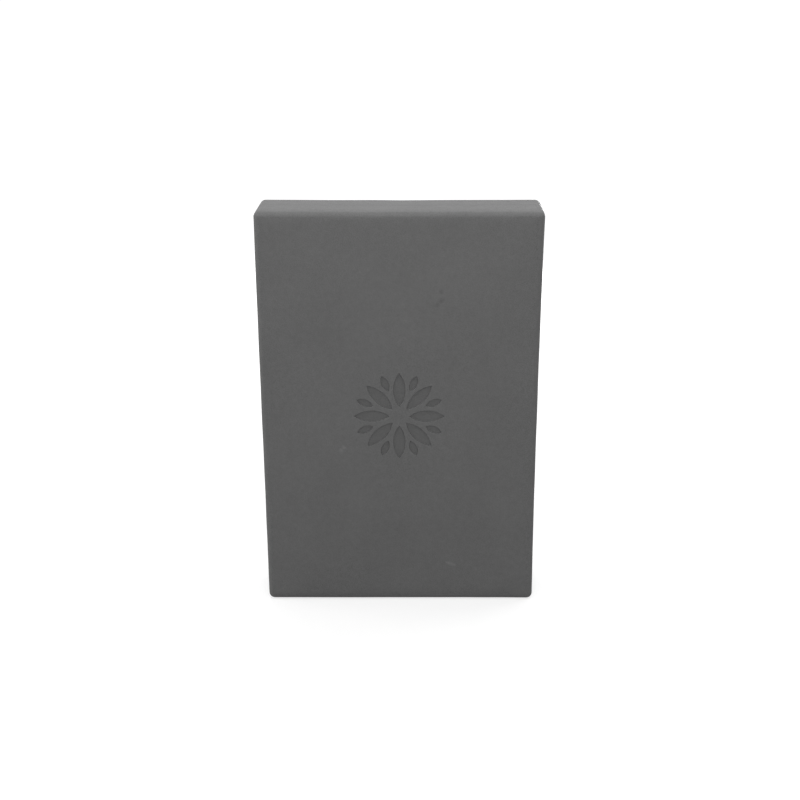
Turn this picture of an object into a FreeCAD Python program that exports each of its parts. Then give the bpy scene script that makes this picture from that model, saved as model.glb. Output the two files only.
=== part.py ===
import FreeCAD, Part
import os
import Sketcher

# A foam yoga block, standing on one short end.
# Two sheets of closed-cell foam are bonded face to face, trimmed to one outline and rounded
# along every outer edge. A rosette is pressed into the middle of the front face.
# Frame: origin at the centre of the base, +X across the width, +Y from front to rear, +Z up.
# All sizes are in millimetres.

# Driving sizes: alias, value, meaning
SIZES = [
    ("block_width", 205, "across the block, along X"),
    ("block_height", 305, "length of the block, along Z"),
    ("sheet_thickness", 24.9, "each foam sheet, along Y"),
    ("film_thickness", 0.2, "adhesive between the sheets"),
    ("edge_radius", 4.5, "rounding of every outer edge"),
    ("press_depth", 1.2, "how far the rosette is pressed into the front face"),
    ("petal_count", 8, "long petals round the rosette, with as many short ones between them"),
    ("rosette_diameter", 68, "over the tips of the petals"),
    ("eye_diameter", 14, "bare round in the middle of the rosette"),
    ("petal_width", 9, "long petal at its widest"),
    ("short_petal_length", 13, "short petal, from tip to tip"),
    ("short_petal_width", 5.5, "short petal at its widest"),
]

# Planes that follow from the sizes, as distances in front of the middle of the bond
FILM_FRONT = "Sizes.film_thickness / 2"
FILM_REAR = "-Sizes.film_thickness / 2"
FRONT_FACE = "Sizes.film_thickness / 2 + Sizes.sheet_thickness"
REAR_FACE = "-Sizes.film_thickness / 2 - Sizes.sheet_thickness"

# The rosette's middle, up from the base, and its petals' ends, out from that middle
ROSETTE_MIDDLE = "Sizes.block_height / 2"
PETAL_TIP = "Sizes.rosette_diameter / 2"
LONG_PETAL_ROOT = "Sizes.eye_diameter / 2"
SHORT_PETAL_ROOT = "Sizes.rosette_diameter / 2 - Sizes.short_petal_length"
HALF_PITCH = "180 / Sizes.petal_count"

FULL_TURN = 360
SAME_PLANE = 1e-6
VOLUME_TOLERANCE = 0.01

# How a sketch numbers the ends of a line or arc, its own origin and its upright axis
START_INDEX = 1
END_INDEX = 2
ORIGIN_INDEX = (-1, START_INDEX)
UPRIGHT_INDEX = -2

doc = FreeCAD.newDocument("yoga_block")


# The sheet of sizes
def make_sizes():
    sheet = doc.addObject("Spreadsheet::Sheet", "Sizes")
    for row, (alias, value, meaning) in enumerate(SIZES, 1):
        sheet.set("A%d" % row, alias)
        sheet.set("B%d" % row, str(value))
        sheet.set("C%d" % row, meaning)
        sheet.setAlias("B%d" % row, alias)
    doc.recompute()


def number(expression):
    """What an expression on the sheet of sizes gives at present."""
    return float(doc.Sizes.evalExpression(expression))


# Sketches
def new_sketch(body, name, out, up="0"):
    """A sketch that faces the front, its plane out from the bond and its origin up from the base."""
    sketch = body.newObject("Sketcher::SketchObject", name)
    upright = [plane for plane in body.Origin.OriginFeatures if plane.Role == "XZ_Plane"][0]
    sketch.AttachmentSupport = [(upright, "")]
    sketch.MapMode = "FlatFace"
    sketch.setExpression("AttachmentOffset.Base.y", up)
    sketch.setExpression("AttachmentOffset.Base.z", out)
    return sketch


def dimension(sketch, name, expression, kind, *ends):
    """A constraint whose value is bound to the sheet of sizes."""
    index = sketch.addConstraint(Sketcher.Constraint(kind, *ends, number(expression)))
    sketch.renameConstraint(index, name)
    sketch.setExpression("Constraints." + name, expression)


def draw_outline(sketch):
    """The block's rectangle, with its base line centred on the sketch's origin."""
    half_width = number("Sizes.block_width / 2")
    height = number("Sizes.block_height")
    corners = [
        FreeCAD.Vector(-half_width, 0),
        FreeCAD.Vector(half_width, 0),
        FreeCAD.Vector(half_width, height),
        FreeCAD.Vector(-half_width, height),
    ]
    base, right, top, left = range(4)
    for side in (base, right, top, left):
        sketch.addGeometry(Part.LineSegment(corners[side], corners[(side + 1) % 4]))
    for side in (base, right, top, left):
        sketch.addConstraint(Sketcher.Constraint("Coincident", side, END_INDEX, (side + 1) % 4, START_INDEX))
    sketch.addConstraint(Sketcher.Constraint("Horizontal", top))
    sketch.addConstraint(Sketcher.Constraint("Vertical", right))
    sketch.addConstraint(Sketcher.Constraint("Vertical", left))
    sketch.addConstraint(Sketcher.Constraint("Symmetric", base, START_INDEX, base, END_INDEX, *ORIGIN_INDEX))
    dimension(sketch, "width", "Sizes.block_width", "DistanceX", base, START_INDEX, base, END_INDEX)
    dimension(sketch, "height", "Sizes.block_height", "DistanceY", right, START_INDEX, right, END_INDEX)


def draw_petal(sketch, root, width):
    """A leaf of two equal arcs, with both its ends on the sketch's upright axis."""
    low = FreeCAD.Vector(0, number(root))
    high = FreeCAD.Vector(0, number(PETAL_TIP))
    belly = FreeCAD.Vector(number(width) / 2, 0)
    middle = (low + high) / 2
    right, left = range(2)
    sketch.addGeometry(Part.Arc(low, middle + belly, high))
    sketch.addGeometry(Part.Arc(high, middle - belly, low))
    sketch.addConstraint(Sketcher.Constraint("Coincident", right, START_INDEX, left, END_INDEX))
    sketch.addConstraint(Sketcher.Constraint("Coincident", right, END_INDEX, left, START_INDEX))
    sketch.addConstraint(Sketcher.Constraint("PointOnObject", right, START_INDEX, UPRIGHT_INDEX))
    sketch.addConstraint(Sketcher.Constraint("PointOnObject", right, END_INDEX, UPRIGHT_INDEX))
    sketch.addConstraint(Sketcher.Constraint("Equal", right, left))
    dimension(sketch, "root", root, "DistanceY", *ORIGIN_INDEX, right, START_INDEX)
    dimension(sketch, "tip", PETAL_TIP, "DistanceY", *ORIGIN_INDEX, right, END_INDEX)
    curve = "(%s - (%s))^2 / (4 * %s) + %s / 4" % (PETAL_TIP, root, width, width)
    dimension(sketch, "curve", curve, "Radius", right)


# The layers of the block
def make_layer(label, rear_plane, thickness, outer_side):
    """One layer, from its rear plane forwards, rounded at its corners and round the side that shows."""
    body = doc.addObject("PartDesign::Body", label)
    outline = new_sketch(body, label + "_outline", rear_plane)
    draw_outline(outline)
    doc.recompute()

    slab = body.newObject("PartDesign::Pad", label + "_slab")
    slab.Profile = outline
    slab.setExpression("Length", thickness)
    doc.recompute()

    rounding = body.newObject("PartDesign::Fillet", label + "_rounding")
    rounding.Base = (slab, outer_edges(slab.Shape, outer_side))
    rounding.setExpression("Radius", "Sizes.edge_radius")
    doc.recompute()
    return body


def outer_edges(shape, outer_side):
    """Names of the corner edges that run through a slab, and of the edges round its outer side."""
    outer_planes = {"front": [shape.BoundBox.YMin], "rear": [shape.BoundBox.YMax], "none": []}[outer_side]
    names = []
    for place, edge in enumerate(shape.Edges, 1):
        start, end = [vertex.Y for vertex in edge.Vertexes]
        runs_through = abs(start - end) > SAME_PLANE
        is_outer = any(abs(start - plane) < SAME_PLANE for plane in outer_planes)
        if runs_through or is_outer:
            names.append("Edge%d" % place)
    return names


# The rosette
def press_petals(body, name, root, width, turned):
    """A ring of petals pressed into the front face, the first one turned from upright."""
    petal = new_sketch(body, name + "_outline", FRONT_FACE, ROSETTE_MIDDLE)
    petal.setExpression("AttachmentOffset.Rotation.Angle", turned)
    draw_petal(petal, root, width)
    doc.recompute()

    volume_before = body.Shape.Volume
    dent = body.newObject("PartDesign::Pocket", name + "_dent")
    dent.Profile = petal
    dent.setExpression("Length", "Sizes.press_depth")
    doc.recompute()

    ring = body.newObject("PartDesign::PolarPattern", name + "_ring")
    ring.Originals = [dent]
    ring.Axis = (petal, ["N_Axis"])
    ring.Angle = FULL_TURN
    ring.setExpression("Occurrences", "Sizes.petal_count")
    body.Tip = ring
    doc.recompute()

    pressed = volume_before - body.Shape.Volume
    expected = Part.Face(petal.Shape).Area * number("Sizes.press_depth * Sizes.petal_count")
    print("%s: %.1f mm3 pressed in, %.1f as drawn" % (name, pressed, expected))
    if abs(pressed - expected) > VOLUME_TOLERANCE * expected:
        raise RuntimeError(name + " aren't pressed in as drawn")


def check_and_write(bodies):
    """Stop if anything failed to build, and otherwise write each layer to a file of its own."""
    for item in doc.Objects:
        if "Invalid" in item.State or "Error" in item.State:
            raise RuntimeError(item.Name + " failed to build")
    for body in bodies:
        if body.Shape.isNull() or not body.Shape.isValid() or len(body.Shape.Solids) != 1:
            raise RuntimeError(body.Label + " isn't one valid solid")
    os.makedirs("parts", exist_ok=True)
    for body in bodies:
        body.Shape.exportStep("parts/%s.step" % body.Label)
        print("%s: %.1f cm3" % (body.Label, body.Shape.Volume / 1000))


make_sizes()
front_sheet = make_layer("front_sheet", FILM_FRONT, "Sizes.sheet_thickness", "front")
bond_film = make_layer("bond_film", FILM_REAR, "Sizes.film_thickness", "none")
rear_sheet = make_layer("rear_sheet", REAR_FACE, "Sizes.sheet_thickness", "rear")
press_petals(front_sheet, "long_petals", LONG_PETAL_ROOT, "Sizes.petal_width", "0")
press_petals(front_sheet, "short_petals", SHORT_PETAL_ROOT, "Sizes.short_petal_width", HALF_PITCH)
check_and_write([front_sheet, bond_film, rear_sheet])
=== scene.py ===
# %% [markdown]
# # A foam yoga block
#
# The object is a full-size exercise block of dark grey closed-cell foam, standing on one short end.
# It is made of two sheets that are bonded face to face, trimmed to one outline and rounded along
# every outer edge, and a rosette is pressed into the middle of the front face.
#
# The solids give the sizes, and this lesson gives the block its looks: edges as a router leaves them,
# a rosette with the soft rims that a hot die leaves, the slight bow and sag of real foam, and a finish
# with the fine grain of closed cells. The solids come in first, as a fixed frame in metres, and their
# box is kept, to compare with at the end.

# %% Load the solids
import math

import bmesh
import bpy
from mathutils import Matrix, Vector, noise


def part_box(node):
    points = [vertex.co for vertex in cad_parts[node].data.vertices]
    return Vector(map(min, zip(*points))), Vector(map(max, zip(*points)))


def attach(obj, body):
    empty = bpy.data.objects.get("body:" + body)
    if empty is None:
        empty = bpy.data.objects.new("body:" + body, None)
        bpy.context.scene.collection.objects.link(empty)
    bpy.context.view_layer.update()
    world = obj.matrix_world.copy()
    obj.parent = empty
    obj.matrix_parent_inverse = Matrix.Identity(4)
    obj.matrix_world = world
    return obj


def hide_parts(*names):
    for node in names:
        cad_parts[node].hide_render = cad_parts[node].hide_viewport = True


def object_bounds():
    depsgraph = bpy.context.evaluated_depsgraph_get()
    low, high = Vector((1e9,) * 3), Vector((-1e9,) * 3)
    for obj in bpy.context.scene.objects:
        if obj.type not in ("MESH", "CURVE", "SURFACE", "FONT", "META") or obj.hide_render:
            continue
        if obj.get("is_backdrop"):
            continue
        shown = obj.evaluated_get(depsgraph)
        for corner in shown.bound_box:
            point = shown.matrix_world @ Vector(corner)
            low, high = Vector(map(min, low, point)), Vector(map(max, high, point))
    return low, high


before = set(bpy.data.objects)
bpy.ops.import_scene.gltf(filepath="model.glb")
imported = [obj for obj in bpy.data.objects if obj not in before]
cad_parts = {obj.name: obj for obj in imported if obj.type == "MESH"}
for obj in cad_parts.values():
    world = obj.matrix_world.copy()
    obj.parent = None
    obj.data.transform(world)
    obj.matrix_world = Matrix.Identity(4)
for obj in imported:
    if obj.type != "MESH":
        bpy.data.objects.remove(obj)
cad_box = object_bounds()
block_low, block_high = cad_box
MM = 0.001
print("block:", [round(size / MM, 1) for size in block_high - block_low], "mm")

# %% [markdown]
# ## Sizes
#
# Sizes could be typed in again here, but two copies of a number drift apart. So the ones that the
# solids can show are measured on them: the edge rounding is how far the flat top end stops short of
# the block's side, and the press depth is how far the rosette's floor lies behind the front face.
# Only the rosette's outline is repeated, as round numbers.

# %% Measure the solids
SAME_PLACE = 1e-6

front_low, front_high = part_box("front_sheet")
film_low, film_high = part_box("bond_film")
rear_low, rear_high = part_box("rear_sheet")
front_points = [vertex.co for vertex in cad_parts["front_sheet"].data.vertices]

half_width = (block_high.x - block_low.x) / 2
height = block_high.z - block_low.z
flat_top = [point.x for point in front_points if point.z > block_high.z - SAME_PLACE]
edge_radius = block_high.x - max(flat_top)

ROSETTE_RADIUS = 34 * MM
rosette_middle = Vector((0, front_low.y, height / 2))
petal_points = [point for point in front_points if (point - rosette_middle).length < ROSETTE_RADIUS]
press_depth = max(point.y for point in petal_points) - front_low.y
print("edge rounding: %.2f mm, press depth: %.2f mm" % (edge_radius / MM, press_depth / MM))

# %% [markdown]
# ## A sheet with routed edges
#
# On the bench, the bonded slab is trimmed and its edges are run along a router, which rounds them.
# A cube with a Bevel modifier could show that, but here only some edges are rounded: the ones that run
# through the slab and the ones round the face that shows, and not those at the bond. The bevel operator
# takes just the edges that it is given, so each sheet starts as a cube and gets its rounding there.
# The round of the face edges is tighter than that of the corners, and their softness comes later, from
# the way the foam falls away towards them. At the bond, a trace of an edge is broken, as trimming
# leaves it.

# %% Sheets of foam
ROUNDING_STEPS = 8
FACE_ROUND = 3.6 * MM
BROKEN_EDGE = 0.15 * MM
BROKEN_STEPS = 2


def edges_on(bm, y):
    """The edges that lie in a plane across the block's thickness."""
    return [edge for edge in bm.edges if all(abs(vert.co.y - y) < SAME_PLACE for vert in edge.verts)]


def edges_through(bm):
    """The straight edges that run through the block's thickness."""
    return [edge for edge in bm.edges if abs(edge.verts[0].co.y - edge.verts[1].co.y) > SAME_PLACE]


def new_slab(low, high):
    """A plain box between two corners."""
    bm = bmesh.new()
    bmesh.ops.create_cube(bm, size=1)
    bmesh.ops.scale(bm, vec=high - low, verts=bm.verts)
    bmesh.ops.translate(bm, vec=(low + high) / 2, verts=bm.verts)
    return bm


def round_edges(bm, edges, radius, steps):
    """Give edges a round of that radius."""
    bmesh.ops.bevel(
        bm, geom=edges, offset=radius, offset_type="OFFSET", affect="EDGES",
        segments=steps, profile=0.5, material=-1,
    )


def new_sheet(low, high, outer_y, bond_y):
    """A sheet rounded at its corners and round its outer face, with the edge at the bond just broken."""
    bm = new_slab(low, high)
    round_edges(bm, edges_through(bm), edge_radius, ROUNDING_STEPS)
    round_edges(bm, edges_on(bm, outer_y), FACE_ROUND, ROUNDING_STEPS)
    round_edges(bm, edges_on(bm, bond_y), BROKEN_EDGE, BROKEN_STEPS)
    return bm


front_bm = new_sheet(front_low, front_high, front_low.y, front_high.y)
rear_bm = new_sheet(rear_low, rear_high, rear_high.y, rear_low.y)
print("faces of a sheet:", len(front_bm.faces), len(rear_bm.faces))

# %% [markdown]
# ## A petal of the die
#
# The rosette is pressed in with a hot metal die, so the model has that die too: eight long petals with
# eight short ones between them. A petal is two arcs that meet in points. A list of points could hold
# that outline, but an arc is what spin makes from a single vertex, so each side of a petal is one spin.

# %% A petal
EYE_RADIUS = 7 * MM
PETAL_WIDTH = 9 * MM
SHORT_PETAL_LENGTH = 13 * MM
SHORT_PETAL_WIDTH = 5.5 * MM
PETAL_STEPS = 18


def petal_face(bm, root, width):
    """One upright petal as a flat face, with its point at the rosette's rim."""
    half_length = (ROSETTE_RADIUS - root) / 2
    radius = half_length ** 2 / width + width / 4
    turn = 2 * math.asin(half_length / radius)
    for side in (1, -1):
        start = bm.verts.new((0, 0, root))
        centre = Vector((side * (width / 2 - radius), 0, root + half_length))
        bmesh.ops.spin(
            bm, geom=[start], cent=centre, axis=(0, -side, 0), angle=turn, steps=PETAL_STEPS,
        )
    bmesh.ops.remove_doubles(bm, verts=bm.verts, dist=SAME_PLACE)
    return bmesh.ops.edgeloop_fill(bm, edges=bm.edges[:])["faces"][0]


long_petal_length = ROSETTE_RADIUS - EYE_RADIUS
print("long petals: %.1f by %.1f mm" % (long_petal_length / MM, PETAL_WIDTH / MM))
print("short petals: %.1f by %.1f mm" % (SHORT_PETAL_LENGTH / MM, SHORT_PETAL_WIDTH / MM))

# %% [markdown]
# ## The die
#
# The die's petals are blocks, and each narrows a little towards its working face, as on a real die, so
# that it leaves the foam again. An Array modifier could repeat them round the ring, but it needs an
# extra object to turn with. Another spin, with copies instead of a swept surface, does it in one call.

# %% Petals of the die
PETAL_COUNT = 8
PROUD = 2 * MM
DRAFT = 0.95


def petal_ring(root, width, turned):
    """A ring of petals, each a block that reaches from in front of the face to the press depth."""
    bm = bmesh.new()
    face = petal_face(bm, root, width)
    bmesh.ops.translate(bm, vec=(0, -PROUD, 0), verts=bm.verts)
    middle = face.calc_center_median()
    pushed = bmesh.ops.extrude_face_region(bm, geom=[face])["geom"]
    working = [item for item in pushed if isinstance(item, bmesh.types.BMVert)]
    bmesh.ops.translate(bm, vec=(0, PROUD + press_depth, 0), verts=working)
    bmesh.ops.scale(bm, vec=(DRAFT, 1, DRAFT), verts=working, space=Matrix.Translation(-middle))
    bmesh.ops.rotate(bm, cent=(0, 0, 0), matrix=Matrix.Rotation(turned, 3, "Y"), verts=bm.verts)
    bmesh.ops.spin(
        bm, geom=bm.verts[:] + bm.edges[:] + bm.faces[:], cent=(0, 0, 0), axis=(0, 1, 0),
        angle=math.tau * (1 - 1 / PETAL_COUNT), steps=PETAL_COUNT - 1, use_duplicate=True,
    )
    bmesh.ops.recalc_face_normals(bm, faces=bm.faces)
    bmesh.ops.translate(bm, vec=rosette_middle, verts=bm.verts)
    return bm


def new_object(name, bm):
    """A mesh object from a bmesh, which is freed."""
    mesh = bpy.data.meshes.new(name)
    bm.to_mesh(mesh)
    bm.free()
    made = bpy.data.objects.new(name, mesh)
    bpy.context.scene.collection.objects.link(made)
    return made


half_pitch = math.pi / PETAL_COUNT
short_root = ROSETTE_RADIUS - SHORT_PETAL_LENGTH
long_petals = new_object("die_long_petals", petal_ring(EYE_RADIUS, PETAL_WIDTH, 0))
short_petals = new_object("die_short_petals", petal_ring(short_root, SHORT_PETAL_WIDTH, half_pitch))
print("faces of the die:", len(long_petals.data.polygons) + len(short_petals.data.polygons))

# %% [markdown]
# ## Pressing the rosette
#
# A bump map could fake the dents, but their walls catch light and hide behind each other, so they are
# cut for real. A Boolean modifier takes the die out of the front sheet, and its result is read back as
# a mesh. Foam isn't metal, though: it gives way round the die, so the rims and the foot of each wall
# get a small round of their own.

# %% Press the front sheet
RIM_ROUND = 0.45 * MM
RIM_STEPS = 3
FOOT_ROUND = 0.3 * MM
FOOT_STEPS = 2
FACES_FRONT = 0.9


def pressed(bm, dies):
    """The sheet with the dies' shape taken out of it. The dies are used up."""
    sheet = new_object("pressing", bm)
    for die in dies:
        cut = sheet.modifiers.new("press", "BOOLEAN")
        cut.operation = "DIFFERENCE"
        cut.solver = "EXACT"
        cut.object = die
    graph = bpy.context.evaluated_depsgraph_get()
    mesh = bpy.data.meshes.new_from_object(sheet.evaluated_get(graph))
    result = bmesh.new()
    result.from_mesh(mesh)
    bpy.data.meshes.remove(mesh)
    for spent in [sheet, *dies]:
        bpy.data.meshes.remove(spent.data)
    return result


def wall_edges(bm, y):
    """The edges where a petal's wall meets the face or the floor that lies in that plane."""
    return [
        edge for edge in edges_on(bm, y)
        if any(abs(face.normal.y) < FACES_FRONT for face in edge.link_faces)
        and (edge.verts[0].co - rosette_middle).length < 2 * ROSETTE_RADIUS
    ]


front_bm = pressed(front_bm, [long_petals, short_petals])
round_edges(front_bm, wall_edges(front_bm, front_low.y), RIM_ROUND, RIM_STEPS)
round_edges(front_bm, wall_edges(front_bm, front_low.y + press_depth), FOOT_ROUND, FOOT_STEPS)
print("faces of the pressed sheet:", len(front_bm.faces))

# %% [markdown]
# ## The bond
#
# Between the sheets lies a film of contact adhesive. Trimming leaves its edge a hair below the foam,
# which reads as a fine dark line round the block's sides. A dark stripe in the foam's colour could
# show that too, but a thin slab of its own keeps the adhesive's gloss, and its edge is really sunk.

# %% Bond film
FILM_RECESS = 0.1 * MM

inset = Vector((FILM_RECESS, 0, FILM_RECESS))
film_bm = new_slab(film_low + inset, film_high - inset)
round_edges(film_bm, edges_through(film_bm), edge_radius - FILM_RECESS, ROUNDING_STEPS)
print("faces of the film:", len(film_bm.faces))

# %% [markdown]
# ## A net to bend with
#
# A flat face with four corners can't bend, so each piece first gets a net of cuts, from side to side,
# from end to end and through its thickness. Subdividing every face could do it too, but it would
# follow the outlines of the petals and give the rounded edges far more points than they need. Plane
# cuts are even, and a few more of them lie close to the sides, where the shape changes fastest. Where
# a cut passes a petal's corner, it leaves points almost on top of each other, which are merged. Their
# order isn't the same on each run, so they are sorted first, and then the same ones always merge.

# %% Net of cuts
GRID = 6 * MM
EDGE_CUTS = [5.2 * MM, 6 * MM, 7.2 * MM, 8.8 * MM]
MERGED = 0.05 * MM


def cut_places(low, high):
    """Where the net cuts between two sides of the block."""
    count = round((high - low - 2 * edge_radius) / GRID)
    step = (high - low - 2 * edge_radius) / count
    evenly = [low + edge_radius + place * step for place in range(1, count)]
    return evenly + [low + cut for cut in EDGE_CUTS] + [high - cut for cut in EDGE_CUTS]


def cut_net(bm):
    """Cut a mesh by planes across, along and through the block."""
    for axis in (0, 1, 2):
        normal = Vector((axis == 0, axis == 1, axis == 2))
        for place in cut_places(block_low[axis], block_high[axis]):
            bmesh.ops.bisect_plane(
                bm, geom=bm.verts[:] + bm.edges[:] + bm.faces[:], dist=SAME_PLACE,
                plane_co=normal * place, plane_no=normal,
            )
    by_place = sorted(bm.verts, key=lambda vert: tuple(vert.co))
    bmesh.ops.remove_doubles(bm, verts=by_place, dist=MERGED)


for bm in (front_bm, film_bm, rear_bm):
    cut_net(bm)
print("points to move:", [len(bm.verts) for bm in (front_bm, film_bm, rear_bm)])

# %% [markdown]
# ## Real foam isn't straight
#
# In the photograph, one long side is a little hollow and not quite square with the front, and the
# top end sags and leans by a hair. A Displace modifier could do this, but it moves points along
# their own normals, and the pieces would part at the bond. A function of place moves the points of
# all pieces alike, so they stay together. Both the side and the top end flare at their ends, and
# the hollow is taken from that.

# %% Bow and sag
SIDE_FLARE = 0.75 * MM
SIDE_HOLLOW = 0.9 * MM
OUT_OF_SQUARE = 0.9 * MM
TOP_FLARE = 0.5 * MM
TOP_HOLLOW = 0.3 * MM
TOP_LEAN = 0.25 * MM


def eased(share):
    """0 to 1 with a soft start and end, from a share that may lie outside them."""
    share = min(max(share, 0), 1)
    return share * share * (3 - 2 * share)


def bow_and_sag(point):
    """How the block's own bend moves a point."""
    along = 2 * (point.z - block_low.z) / height - 1
    across = point.x / half_width
    rearwards = (point.y - block_low.y) / (block_high.y - block_low.y)
    hollow = SIDE_HOLLOW * (1 - along ** 2)
    bow = (SIDE_FLARE - hollow + OUT_OF_SQUARE * rearwards) * eased(across)
    rise = (TOP_FLARE - TOP_HOLLOW * (1 - across ** 2) - TOP_LEAN * across) * eased(along)
    return Vector((bow, 0, rise))


middle_of_side = Vector((half_width, block_low.y, height / 2))
print("middle of the hollow side: %.2f mm inwards" % (-bow_and_sag(middle_of_side).x / MM))

# %% [markdown]
# ## Soft edges
#
# The front edges are softer than a clean round: the face and the top end start to fall away some
# millimetres before it, as handled foam does. A wider bevel could soften them, but it would also shrink
# the corners of the outline, which the photograph shows tight. So the face and the end fall back by
# about a millimetre at the edge, and less and less towards the middle. The rear edges, which the outline
# shows crisper, get a share of that.

# %% Soft edges
EDGE_ZONE = 9 * MM
FACE_FALL = 1.0 * MM
END_FALL = 1.3 * MM
END_ZONE = 12 * MM
REAR_SHARE = 0.3


def falling(distance, zone):
    """1 at a side and 0 from the edge zone inwards, with no kink there."""
    return max(0, 1 - distance / zone) ** 2


def side_distance(point):
    """How far a point lies from the nearest side or end."""
    return min(half_width - abs(point.x), point.z - block_low.z, block_high.z - point.z)


def face_distance(point):
    """How far a point lies behind the nearer one of the two big faces."""
    return block_high.y - abs(point.y)


def edge_fall(point):
    """How the softness of the edges moves a point."""
    from_side = side_distance(point)
    from_face = face_distance(point)
    from_top = block_high.z - point.z
    softness = 1 if point.y < 0 else REAR_SHARE
    face_fall = softness * FACE_FALL * falling(from_side, EDGE_ZONE) * falling(from_face, EDGE_ZONE)
    end_fall = softness * END_FALL * falling(from_face, END_ZONE) * falling(from_top, EDGE_ZONE)
    return Vector((0, -math.copysign(face_fall, point.y), -end_fall))


middle_of_top_edge = Vector((0, block_low.y, block_high.z))
print("the front top edge falls by up to %.2f mm" % (-edge_fall(middle_of_top_edge).z / MM))

# %% [markdown]
# ## Unevenness
#
# No face or edge of foam is quite even: the faces swell and ripple a little, and the edges wander with
# the hand that led them along the router. Random numbers for each point would make them rough, so smooth
# noise is read at each place, at three lengths. It would start elsewhere on each run, so it gets a seed,
# and the block stays the same. The base stays flat on the ground.

# %% Unevenness
SWELL = Vector((0.15, 0.35, 0.15)) * MM
SWELL_LENGTH = 110 * MM
RIPPLE = Vector((0.08, 0.12, 0.08)) * MM
RIPPLE_LENGTH = 30 * MM
RIPPLE_START = Vector((7, 3, 5))
EDGE_WANDER = 0.2 * MM
WANDER_LENGTH = 24 * MM
WANDER_START = Vector((2, 9, 4))
SETTLED = 12 * MM
NOISE_SEED = 5

noise.seed_set(NOISE_SEED)


def unevenness(point):
    """How swell, ripple and wandering edges move a point."""
    swell = SWELL * noise.noise_vector(point / SWELL_LENGTH)
    ripple = RIPPLE * noise.noise_vector(point / RIPPLE_LENGTH + RIPPLE_START)
    wander = EDGE_WANDER * noise.noise_vector(point / WANDER_LENGTH + WANDER_START)
    wander *= eased(1 - max(side_distance(point), face_distance(point)) / EDGE_ZONE)
    return swell + ripple + wander


def as_settled(point):
    """Where a point of the straight block lies on the real one, whose base is flat."""
    shift = bow_and_sag(point) + edge_fall(point) + unevenness(point)
    shift.z *= eased((point.z - block_low.z) / SETTLED)
    return point + shift


print("swell of the faces: up to %.2f mm" % (SWELL.y / MM))

# %% [markdown]
# ## What each point knows about its surface
#
# The finish isn't the same everywhere: the big faces are split foam, the edges and sides are routed
# and rubbed, and the dents are crushed smooth. Materials can't see how a place was made, and painting
# it by hand would be lost with the next change of the mesh, so each point keeps two numbers for them:
# how much it was routed and how deep it was pressed. They are worked out on the straight block,
# before the points move. Smooth shading alone would carry the light of a round far onto the flat face
# beside it, so a Weighted Normal modifier lets the larger faces decide.

# %% Finish the pieces
FLAT_FACES_FIRST = 100


def mark_points(bm):
    """Keep for each point how much it was routed and how deep it was pressed."""
    routed = bm.verts.layers.float.new("routed")
    pressed_in = bm.verts.layers.float.new("pressed")
    for vert in bm.verts:
        vert[routed] = eased(1 - side_distance(vert.co) / edge_radius)
        in_rosette = (vert.co - rosette_middle).length < ROSETTE_RADIUS
        vert[pressed_in] = eased((vert.co.y - front_low.y) / press_depth) if in_rosette else 0


def finished(name, bm):
    """A piece with its points marked and settled, smooth, and with flat faces that shade flat."""
    mark_points(bm)
    for vert in bm.verts:
        vert.co = as_settled(vert.co)
    for face in bm.faces:
        face.smooth = True
    bmesh.ops.recalc_face_normals(bm, faces=bm.faces)
    piece = new_object(name, bm)
    even = piece.modifiers.new("even_shading", "WEIGHTED_NORMAL")
    even.weight = FLAT_FACES_FIRST
    return piece


front_sheet = finished("foam_front_sheet", front_bm)
film = finished("adhesive_film", film_bm)
rear_sheet = finished("foam_rear_sheet", rear_bm)
print("faces:", {piece.name: len(piece.data.polygons) for piece in (front_sheet, film, rear_sheet)})

# %% [markdown]
# ## Helpers for materials
#
# Shaders can be wired by hand in the editor, but a script that adds and links nodes one by one is hard
# to read. So there is a short helper for each kind of node that this block needs. The first ones start
# a material, do sums on its values and fit a value from one range to another, and the foam's material
# is started with them.

# %% Start of a material
def new_material(name):
    """A material with a shader, its node tree, and the place of a point in metres."""
    material = bpy.data.materials.new(name)
    material.use_nodes = True
    tree = material.node_tree
    place = tree.nodes.new("ShaderNodeTexCoord").outputs["Object"]
    return material, tree, tree.nodes["Principled BSDF"], place


def put(tree, socket, value):
    """Link a socket to another one, or set it to a number."""
    if isinstance(value, bpy.types.NodeSocket):
        tree.links.new(value, socket)
    else:
        socket.default_value = value


def sums(tree, operation, first, second):
    """The result of a sum on two values."""
    node = tree.nodes.new("ShaderNodeMath")
    node.operation = operation
    put(tree, node.inputs[0], first)
    put(tree, node.inputs[1], second)
    return node.outputs["Value"]


def fitted(tree, value, low, high, to_low, to_high):
    """A value fitted from one range to another, and held there."""
    node = tree.nodes.new("ShaderNodeMapRange")
    for socket, number in zip(node.inputs, (value, low, high, to_low, to_high)):
        put(tree, socket, number)
    return node.outputs["Result"]


foam, foam_tree, foam_shader, foam_place = new_material("closed_cell_foam")
print("material:", foam.name)

# %% [markdown]
# ## Cells and pinholes
#
# This foam is sliced from a big bun, so its surface is countless tiny cups, cells that the knife has
# opened. From arm's length they make it matt, and close by they are a fine grain, with a pinhole here
# and there where gas has made a bigger cell. An image of foam would repeat and stretch round the edges,
# so both come from Voronoi cells in space: small ones for the grain, and wide ones that hold a pinhole
# each, of a random size, of which only those at the surface show.

# %% Cells and pinholes
CELL = 0.6 * MM
PINHOLE = 0.55 * MM
PINHOLE_SPACING = 6.5 * MM
NO_PINHOLE = 0.2
WIDEST_PINHOLE = 0.9
PINHOLE_FLOOR = 0.5


def cells(tree, place, size):
    """How far each place is from the middle of its cell, in cell sizes, and a number for the cell."""
    node = tree.nodes.new("ShaderNodeTexVoronoi")
    put(tree, node.inputs["Vector"], place)
    put(tree, node.inputs["Scale"], 1 / size)
    return node.outputs["Distance"], node.outputs["Color"]


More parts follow.
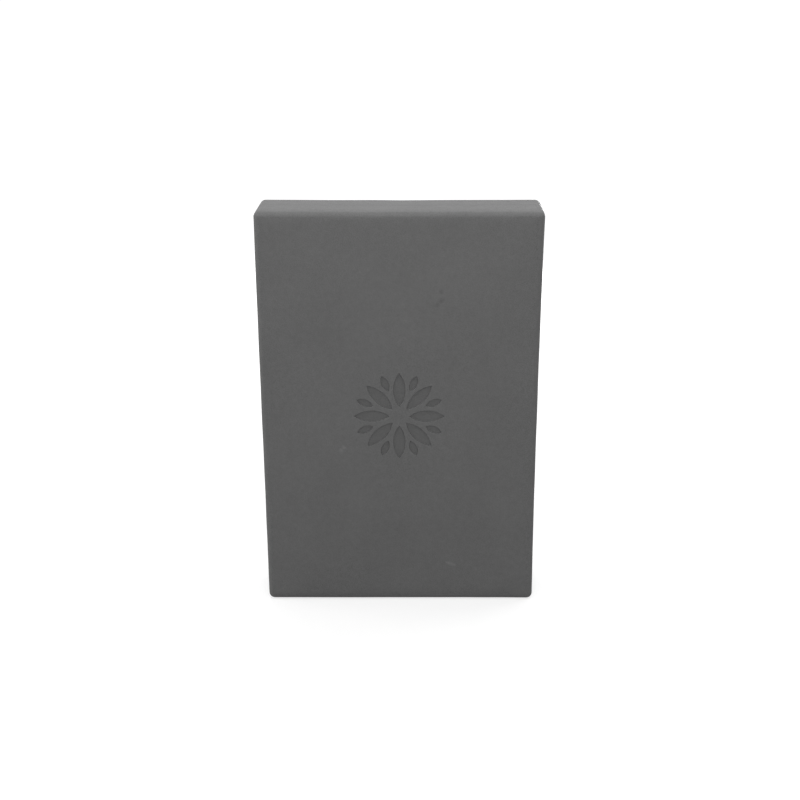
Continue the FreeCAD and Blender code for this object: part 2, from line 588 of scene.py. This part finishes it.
foam_cells, cell_number = cells(foam_tree, foam_place, CELL)
hole_distance, hole_number = cells(foam_tree, foam_place, PINHOLE_SPACING)
widest_radius = PINHOLE / PINHOLE_SPACING
hole_radius = fitted(foam_tree, hole_number, NO_PINHOLE, WIDEST_PINHOLE, 0, widest_radius)
floor_radius = sums(foam_tree, "MULTIPLY", hole_radius, PINHOLE_FLOOR)
foam_pinholes = fitted(foam_tree, hole_distance, floor_radius, hole_radius, 1, 0)
print("cells of %.1f mm, pinholes up to %.2f mm in radius" % (CELL / MM, PINHOLE / MM))

# %% [markdown]
# ## Rubbed edges
#
# Hands and floors rub the routed edges pale, in patches and not in an even line. The Geometry node's
# Pointiness could find the edges, but it changes with how dense the mesh is, and the number that each
# point keeps from the router is there already. It grows over the round and is full on the sides, which
# are not rubbed, so the band lies where it is neither none nor full. Soft clouds break it into patches.

# %% Routed, pressed and rubbed
RUB_PATCH = 14 * MM
RUB_STARTS = 0.45
RUB_FULL = 0.7
SIDE_STARTS = 0.55


def mark_of(tree, name):
    """A number that the points of a piece keep."""
    node = tree.nodes.new("ShaderNodeAttribute")
    node.attribute_name = name
    return node.outputs["Fac"]


def clouds(tree, place, size, detail):
    """Soft random values with features of a size in metres."""
    node = tree.nodes.new("ShaderNodeTexNoise")
    put(tree, node.inputs["Vector"], place)
    put(tree, node.inputs["Scale"], 1 / size)
    put(tree, node.inputs["Detail"], detail)
    return node.outputs["Fac"]


foam_routed = mark_of(foam_tree, "routed")
foam_pressed = mark_of(foam_tree, "pressed")
off_the_side = fitted(foam_tree, foam_routed, SIDE_STARTS, 1, 1, 0)
on_the_round = sums(foam_tree, "MULTIPLY", foam_routed, off_the_side)
rub_clouds = clouds(foam_tree, foam_place, RUB_PATCH, detail=4)
rub_patches = fitted(foam_tree, rub_clouds, RUB_STARTS, RUB_FULL, 0, 1)
rubbed = sums(foam_tree, "MULTIPLY", on_the_round, rub_patches)
print("rubbed patches of about %d mm" % round(RUB_PATCH / MM))

# %% [markdown]
# ## Closed-cell foam: colour
#
# A flat grey would look like painted metal. The colour has layers: wide faint clouds, a finer
# mottle, painted shade in the cups of the cells with painted light on their rims, the shade in each
# cell as deep as the knife has opened it, painted shade in the pinholes and in the dents, and edges
# that rubbing has paled in patches.
# Mix nodes could lay them over each other, but each layer only shades the grey a little, so each is
# a factor near 1 that the grey is multiplied by.

# %% Foam colour
FOAM_GREY = 0.12
CLOUD = 45 * MM
CLOUD_SWING = 0.03
MOTTLE = 4 * MM
MOTTLE_SWING = 0.035
CUP_FLOOR = 0.1
CUP_RIM = 0.6
MOST_SHUT = 0.2
MOST_OPEN = 0.8
# Painted shade in the cells' cups, deepest in the most open cells, and painted light on their rims
OPEN_CUP_SHADE = 0.72
SHUT_CUP_SHADE = 1.0
CUP_RIM_LIGHT = 1.08
# Painted shade in the pinholes
PINHOLE_SHADE = 0.5
# Painted shade in the rosette's dents
DENT_SHADE = 0.88
RUBBED_PALE = 1.12
USUAL_LOW = 0.3
USUAL_HIGH = 0.7


def swinging(tree, value, swing):
    """A factor that swings round 1 with the clouds' usual values."""
    return fitted(tree, value, USUAL_LOW, USUAL_HIGH, 1 - swing, 1 + swing)


# The painted shade at the floor of each cup, by how far the knife has opened that cell
painted_cup_shade = fitted(foam_tree, cell_number, MOST_SHUT, MOST_OPEN, SHUT_CUP_SHADE, OPEN_CUP_SHADE)
colour_layers = {
    "clouds": swinging(foam_tree, clouds(foam_tree, foam_place, CLOUD, detail=2), CLOUD_SWING),
    "mottle": swinging(foam_tree, clouds(foam_tree, foam_place, MOTTLE, detail=4), MOTTLE_SWING),
    # painted shade in the cups and painted light on their rims
    "cells": fitted(foam_tree, foam_cells, CUP_FLOOR, CUP_RIM, painted_cup_shade, CUP_RIM_LIGHT),
    # painted shade in the pinholes
    "pinholes": fitted(foam_tree, foam_pinholes, 0, 1, 1, PINHOLE_SHADE),
    # painted shade in the dents
    "pressed": fitted(foam_tree, foam_pressed, 0, 1, 1, DENT_SHADE),
    "rubbed": fitted(foam_tree, rubbed, 0, 1, 1, RUBBED_PALE),
}
foam_shade = FOAM_GREY
for layer in colour_layers.values():
    foam_shade = sums(foam_tree, "MULTIPLY", foam_shade, layer)
print("layers of the foam's colour:", ", ".join(colour_layers))

# %% [markdown]
# ## Signs of use
#
# The photographed block isn't new: its front face has three small pits near the top, a short scrape
# near the base and a pale fleck beside the rosette. They could be cut into the mesh, but they are
# hardly deeper than the grain, so each is a soft round spot, or a row of them, at its place on the
# face: a distance to a point, turned into a factor for the colour and a dip for the relief. The pits
# are darkened with painted shade; the scrape and the fleck are paler, as rubbed foam is.

# %% Pits, scrape and fleck
PIT_SHADE = 0.86
SCUFF = 1.18
SPOT_CORE = 0.3
# Each mark is its place across and up the face, its radius, all in millimetres, and its shade, which
# is painted shade for a pit and the pale of wear for a scrape or fleck
MARKS = (
    (30.5, 247.4, 2.3, PIT_SHADE),
    (30.4, 240.7, 2.4, PIT_SHADE),
    (27.7, 237.7, 2.3, PIT_SHADE),
    (36.5, 32.4, 1.5, SCUFF),
    (38.4, 31.6, 1.8, SCUFF),
    (40.3, 30.9, 1.8, SCUFF),
    (42.4, 30.3, 1.6, SCUFF),
    (-43.8, 125.9, 2.1, SCUFF),
    (-41.5, 128, 2.1, SCUFF),
)


def spot(tree, place, centre, radius):
    """1 in the middle of a round spot, and 0 outside it."""
    node = tree.nodes.new("ShaderNodeVectorMath")
    node.operation = "DISTANCE"
    put(tree, node.inputs[0], place)
    put(tree, node.inputs[1], centre)
    return fitted(tree, node.outputs["Value"], SPOT_CORE * radius, radius, 1, 0)


foam_dips = 0
# A pit's factor paints shade into the colour, and a scuff's pales it as wear
for x, z, radius, shade in MARKS:
    mark = spot(foam_tree, foam_place, (x * MM, front_low.y, z * MM), radius * MM)
    foam_shade = sums(foam_tree, "MULTIPLY", foam_shade, fitted(foam_tree, mark, 0, 1, 1, shade))
    foam_dips = sums(foam_tree, "MAXIMUM", foam_dips, mark)
put(foam_tree, foam_shader.inputs["Base Color"], foam_shade)
print("marks on the front face:", len(MARKS))

# %% [markdown]
# ## Closed-cell foam: relief
#
# The foam's layers have a height too, in millimetres: the cups of the cells, soft dimples a few
# millimetres wide, faint lines across the faces where the slicing knife went, the pinholes and the marks
# of use. They could be real geometry, but they are far too small for that, so they are added up and
# given to a Bump node, whose distance of one millimetre makes the heights real. Routed edges are
# smoother than sliced faces, and the die leaves the dents smoothest of all.

# %% Foam relief
KNIFE_LINE = 1.6 * MM
KNIFE_STRETCH = 0.03
DIMPLE = 2.5 * MM
ROUTED_SMOOTH = 0.5
SMOOTH_GRAIN = 0.25

stretch = foam_tree.nodes.new("ShaderNodeMapping")
stretch.inputs["Scale"].default_value = (KNIFE_STRETCH, 1, 1)
put(foam_tree, stretch.inputs["Vector"], foam_place)
knife_lines = clouds(foam_tree, stretch.outputs["Vector"], KNIFE_LINE, detail=2)

# Each layer with its height in millimetres
relief_layers = {
    "cups": (foam_cells, 0.09),
    "dimples": (clouds(foam_tree, foam_place, DIMPLE, detail=2), 0.08),
    "knife lines": (knife_lines, 0.03),
    "pinholes": (foam_pinholes, -0.25),
    "marks": (foam_dips, -0.12),
}
routed_smooth = sums(foam_tree, "MULTIPLY", foam_routed, ROUTED_SMOOTH)
smoothed = sums(foam_tree, "MAXIMUM", routed_smooth, foam_pressed)
foam_height = 0
for layer, height_mm in relief_layers.values():
    layer_height = sums(foam_tree, "MULTIPLY", layer, height_mm)
    foam_height = sums(foam_tree, "ADD", foam_height, layer_height)
grain_share = fitted(foam_tree, smoothed, 0, 1, 1, SMOOTH_GRAIN)
foam_height = sums(foam_tree, "MULTIPLY", foam_height, grain_share)
bump = foam_tree.nodes.new("ShaderNodeBump")
put(foam_tree, bump.inputs["Distance"], MM)
put(foam_tree, bump.inputs["Height"], foam_height)
put(foam_tree, foam_shader.inputs["Normal"], bump.outputs["Normal"])
print("layers of the foam's relief:", ", ".join(relief_layers))

# %% [markdown]
# ## Closed-cell foam: gloss
#
# One roughness all over would look like moulded plastic. Here it follows the cells, whose rims are
# smoother than their cups, and it is lower where the foam was routed or pressed. Open cells swallow
# light, so the foam has hardly any shine.

# %% Foam gloss
CELL_EDGE = 0.7
ROUGH_CUP = 0.78
ROUGH_RIM = 0.66
SMOOTH_DROP = 0.2
SHINE = 0.08

cell_roughness = fitted(foam_tree, foam_cells, 0, CELL_EDGE, ROUGH_CUP, ROUGH_RIM)
smooth_drop = sums(foam_tree, "MULTIPLY", smoothed, SMOOTH_DROP)
foam_roughness = sums(foam_tree, "SUBTRACT", cell_roughness, smooth_drop)
put(foam_tree, foam_shader.inputs["Roughness"], foam_roughness)
foam_shader.inputs["Specular IOR Level"].default_value = SHINE
print("roughness: %.2f to %.2f" % (ROUGH_RIM - SMOOTH_DROP, ROUGH_CUP))

# %% [markdown]
# ## Adhesive
#
# Contact adhesive dries to a dark, dull satin skin, with small lumps where it was trimmed. The foam's
# own material could serve for so thin a line, but then the bond would vanish from close by. So it
# gets a plain one of its own: one texture of lumps that shades, roughens and raises it. Its shine is
# low, because a film that mirrors the white studio would turn the dark line pale.

# %% Adhesive finish
LUMP = 1.2 * MM
LUMP_HEIGHT = 0.1 * MM
ADHESIVE_DARK = 0.06
ADHESIVE_PALE = 0.08
ADHESIVE_SATIN = 0.5
ADHESIVE_DULL = 0.65
ADHESIVE_SHINE = 0.15

adhesive, glue_tree, glue_shader, glue_place = new_material("contact_adhesive")
lumps = clouds(glue_tree, glue_place, LUMP, detail=3)
glue_shade = fitted(glue_tree, lumps, USUAL_LOW, USUAL_HIGH, ADHESIVE_DARK, ADHESIVE_PALE)
put(glue_tree, glue_shader.inputs["Base Color"], glue_shade)
glue_roughness = fitted(glue_tree, lumps, USUAL_LOW, USUAL_HIGH, ADHESIVE_SATIN, ADHESIVE_DULL)
put(glue_tree, glue_shader.inputs["Roughness"], glue_roughness)
glue_shader.inputs["Specular IOR Level"].default_value = ADHESIVE_SHINE
lump_bump = glue_tree.nodes.new("ShaderNodeBump")
put(glue_tree, lump_bump.inputs["Distance"], LUMP_HEIGHT)
put(glue_tree, lump_bump.inputs["Height"], lumps)
put(glue_tree, glue_shader.inputs["Normal"], lump_bump.outputs["Normal"])
print("lumps of %.1f mm in the adhesive" % (LUMP / MM))

# %% [markdown]
# ## The pieces take their places
#
# The solids stay in the frame for weight and contact, and each piece is shown in place of its solid.
# It also takes its own material, and rides on the block's one body, because nothing on a yoga
# block moves.

# %% Pieces on the frame
for piece, node, material, slot in (
    (front_sheet, "front_sheet", foam, "foam"),
    (film, "bond_film", adhesive, "adhesive"),
    (rear_sheet, "rear_sheet", foam, "foam"),
):
    piece.data.materials.append(material)
    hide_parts(node)
    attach(piece, "root")
    print(piece.name, "stands for", node)

# %% [markdown]
# ## The floor
#
# The photograph is cut out on pure white. A floor could be made white with more light, but that light
# would wash out the block as well. So the paper on the floor is a mid grey for the light that falls on
# it and comes back, and it glows for what looks at it directly: the camera, and rays that a shiny or
# clear surface sends there. The glow is weaker close to the block, so that a soft shadow still shows
# at its foot, and grows with distance until the paper is white.

# %% Floor and backdrop
WHITE = (1, 1, 1, 1)
FLOOR_SIZE = 60
FLOOR_GREY = 0.45
GLOW_NEAR = 0.62
GLOW_FAR = 0.95
NEAR = 0.3
FAR = 1.2


def seen_directly(tree):
    """1 for what the camera, a reflection or glass shows, and 0 for light that falls on things."""
    path = tree.nodes.new("ShaderNodeLightPath").outputs
    camera_or_gloss = sums(tree, "MAXIMUM", path["Is Camera Ray"], path["Is Glossy Ray"])
    return sums(tree, "MAXIMUM", camera_or_gloss, path["Is Transmission Ray"])


floor_bm = bmesh.new()
bmesh.ops.create_grid(floor_bm, x_segments=1, y_segments=1, size=FLOOR_SIZE / 2)
floor = new_object("studio_floor", floor_bm)
floor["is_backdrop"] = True

paper, paper_tree, paper_shader, paper_place = new_material("studio_paper")
paper_shader.inputs["Base Color"].default_value = (FLOOR_GREY, FLOOR_GREY, FLOOR_GREY, 1)
paper_shader.inputs["Roughness"].default_value = 1
paper_shader.inputs["Specular IOR Level"].default_value = 0
paper_shader.inputs["Emission Color"].default_value = WHITE
from_block = paper_tree.nodes.new("ShaderNodeVectorMath")
from_block.operation = "LENGTH"
put(paper_tree, from_block.inputs[0], paper_place)
glow = fitted(paper_tree, from_block.outputs["Value"], NEAR, FAR, GLOW_NEAR, GLOW_FAR)
glow = sums(paper_tree, "MULTIPLY", glow, seen_directly(paper_tree))
put(paper_tree, paper_shader.inputs["Emission Strength"], glow)
floor.data.materials.append(paper)
print("floor of %d m" % FLOOR_SIZE)

# %% [markdown]
# ## The world
#
# Round the set are the white walls of a studio. Modelled walls would need lamps of their own, and the
# world can stand in for them: it shows white where it is looked at, and otherwise lights the block
# evenly from all round, at a strength that fills the shadows and leaves the modelling to the lamps.

# %% World
AMBIENT = 0.26

world = bpy.data.worlds.new("studio")
bpy.context.scene.world = world
world.use_nodes = True
background = world.node_tree.nodes["Background"]
background.inputs["Color"].default_value = WHITE
strength = fitted(world.node_tree, seen_directly(world.node_tree), 0, 1, AMBIENT, 1)
put(world.node_tree, background.inputs["Strength"], strength)
print("light from all round: %.2f" % AMBIENT)

# %% [markdown]
# ## Lamps
#
# The photograph has the light of softboxes: no hard shadow, a top end that is much paler than the
# front, and a front that darkens a little towards its base. A sun lamp or a point lamp would throw
# hard shadows, so the lamps are areas, whose size makes them soft. One hangs over the block, one above
# the camera, and weaker ones at the sides and low behind keep the other faces from going dark.

# %% Lamps
AIM = Vector((0, 0, 0.15))


def softbox(name, place, size, watts, aim=AIM):
    """A rectangular area lamp that faces its aim, and that the camera doesn't see."""
    lamp = bpy.data.lights.new(name, "AREA")
    lamp.shape = "RECTANGLE"
    lamp.size, lamp.size_y = size
    lamp.energy = watts
    made = bpy.data.objects.new(name, lamp)
    made.location = place
    made.rotation_euler = (Vector(aim) - Vector(place)).to_track_quat("-Z", "Y").to_euler()
    made.visible_camera = False
    bpy.context.scene.collection.objects.link(made)
    return made


# The top lamp looks straight down, but for a hair that settles which way round it hangs
below_top = (0, 0.1401, 0)
lamps = [
    softbox("top_softbox", place=(0, 0.14, 0.62), size=(0.75, 0.9), watts=3.5, aim=below_top),
    softbox("key_softbox", place=(0.05, -1.05, 0.6), size=(0.8, 0.6), watts=6.2),
    softbox("left_softbox", place=(-1.0, 0.08, 0.35), size=(0.6, 0.6), watts=4.0),
    softbox("right_softbox", place=(0.9, 0.55, 0.35), size=(0.6, 0.6), watts=4.0),
    softbox("rear_softbox", place=(0.2, 1.15, 0.18), size=(0.7, 0.2), watts=5.0),
]
print("lamps:", {lamp.name: round(lamp.data.energy, 2) for lamp in lamps})

# %% [markdown]
# ## The camera
#
# The block's sides lean towards each other downwards in the photograph, so it was taken from above
# and rather close. Guessing such a view by eye never quite fits, so the lens, the place and the tilt
# come from fitting a pinhole camera to the block's outline, whose real size is known. It stands just
# under a metre away, looks down by about 19 degrees, and is turned and rolled by less than one.

# %% Camera
LENS = 55.16
SENSOR = 36
PITCH = math.radians(19.45)
YAW = math.radians(0.57)
ROLL = math.radians(-0.213)
EYE = Vector((0.304, -878.02, 466.65)) * MM

camera = bpy.data.objects.new("camera", bpy.data.cameras.new("camera"))
camera.data.sensor_width = SENSOR
camera.data.lens = LENS
camera.matrix_world = (
    Matrix.Rotation(YAW, 4, "Z") @ Matrix.Translation(EYE)
    @ Matrix.Rotation(math.pi / 2 - PITCH, 4, "X") @ Matrix.Rotation(ROLL, 4, "Z")
)
bpy.context.scene.collection.objects.link(camera)
bpy.context.scene.camera = camera
bpy.context.scene.view_settings.view_transform = "Standard"
print("camera %.2f m from the block's foot" % camera.matrix_world.translation.length)

# %% [markdown]
# ## Sizes compared
#
# Looks mustn't change the object's size. Checking that by eye isn't enough, so the box of the solids,
# kept from the start, is set against the box of the finished pieces, and how much larger the
# pieces are is printed.

# %% Compare the sizes
visual_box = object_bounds()
growth = [(now - was) / MM for was, now in zip(block_high - block_low, visual_box[1] - visual_box[0])]
print("the finished pieces are larger than the solids by", [round(size, 2) for size in growth], "mm")
